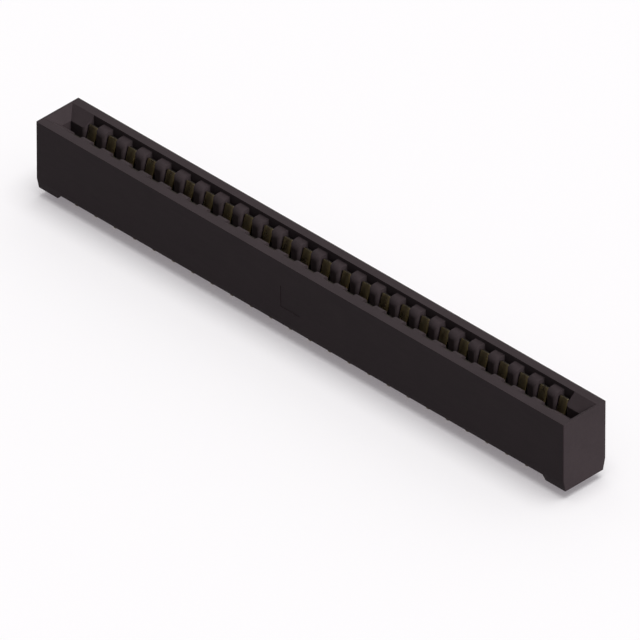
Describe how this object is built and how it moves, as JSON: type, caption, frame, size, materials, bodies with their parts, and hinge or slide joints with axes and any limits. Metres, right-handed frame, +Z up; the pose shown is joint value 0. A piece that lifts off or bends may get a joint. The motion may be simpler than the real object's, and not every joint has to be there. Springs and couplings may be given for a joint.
{
  "type": "card edge connector",
  "caption": "Card edge connector: a long black moulded housing with a slot for a circuit board's edge, two facing rows of sprung gold-plated contacts, and straight solder tails below.",
  "frame": {"origin": "centre of the plane in which the two feet stand on the board, midway between the rows of tails", "axes": "+X along the slot, +Y across it from the front row to the rear row, +Z up out of the slot's mouth"},
  "size_m": [0.1066, 0.0086, 0.0131],
  "materials": {
    "housing_plastic": "fine matt moulded black, slightly warm",
    "contact_metal": "thin dull gold plating on formed strip"
  },
  "bodies": {
    "root": {"housing": "housing_plastic", "contact_front_01": "contact_metal", "contact_front_02": "contact_metal", "contact_front_03": "contact_metal", "contact_front_04": "contact_metal", "contact_front_05": "contact_metal", "contact_front_06": "contact_metal", "contact_front_07": "contact_metal", "contact_front_08": "contact_metal", "contact_front_09": "contact_metal", "contact_front_10": "contact_metal", "contact_front_11": "contact_metal", "contact_front_12": "contact_metal", "contact_front_13": "contact_metal", "contact_front_14": "contact_metal", "contact_front_15": "contact_metal", "contact_front_16": "contact_metal", "contact_front_17": "contact_metal", "contact_front_18": "contact_metal", "contact_front_19": "contact_metal", "contact_front_20": "contact_metal", "contact_front_21": "contact_metal", "contact_front_22": "contact_metal", "contact_front_23": "contact_metal", "contact_front_24": "contact_metal", "contact_front_25": "contact_metal", "contact_rear_01": "contact_metal", "contact_rear_02": "contact_metal", "contact_rear_03": "contact_metal", "contact_rear_04": "contact_metal", "contact_rear_05": "contact_metal", "contact_rear_06": "contact_metal", "contact_rear_07": "contact_metal", "contact_rear_08": "contact_metal", "contact_rear_09": "contact_metal", "contact_rear_10": "contact_metal", "contact_rear_11": "contact_metal", "contact_rear_12": "contact_metal", "contact_rear_13": "contact_metal", "contact_rear_14": "contact_metal", "contact_rear_15": "contact_metal", "contact_rear_16": "contact_metal", "contact_rear_17": "contact_metal", "contact_rear_18": "contact_metal", "contact_rear_19": "contact_metal", "contact_rear_20": "contact_metal", "contact_rear_21": "contact_metal", "contact_rear_22": "contact_metal", "contact_rear_23": "contact_metal", "contact_rear_24": "contact_metal", "contact_rear_25": "contact_metal"}
  },
  "joints": []
}
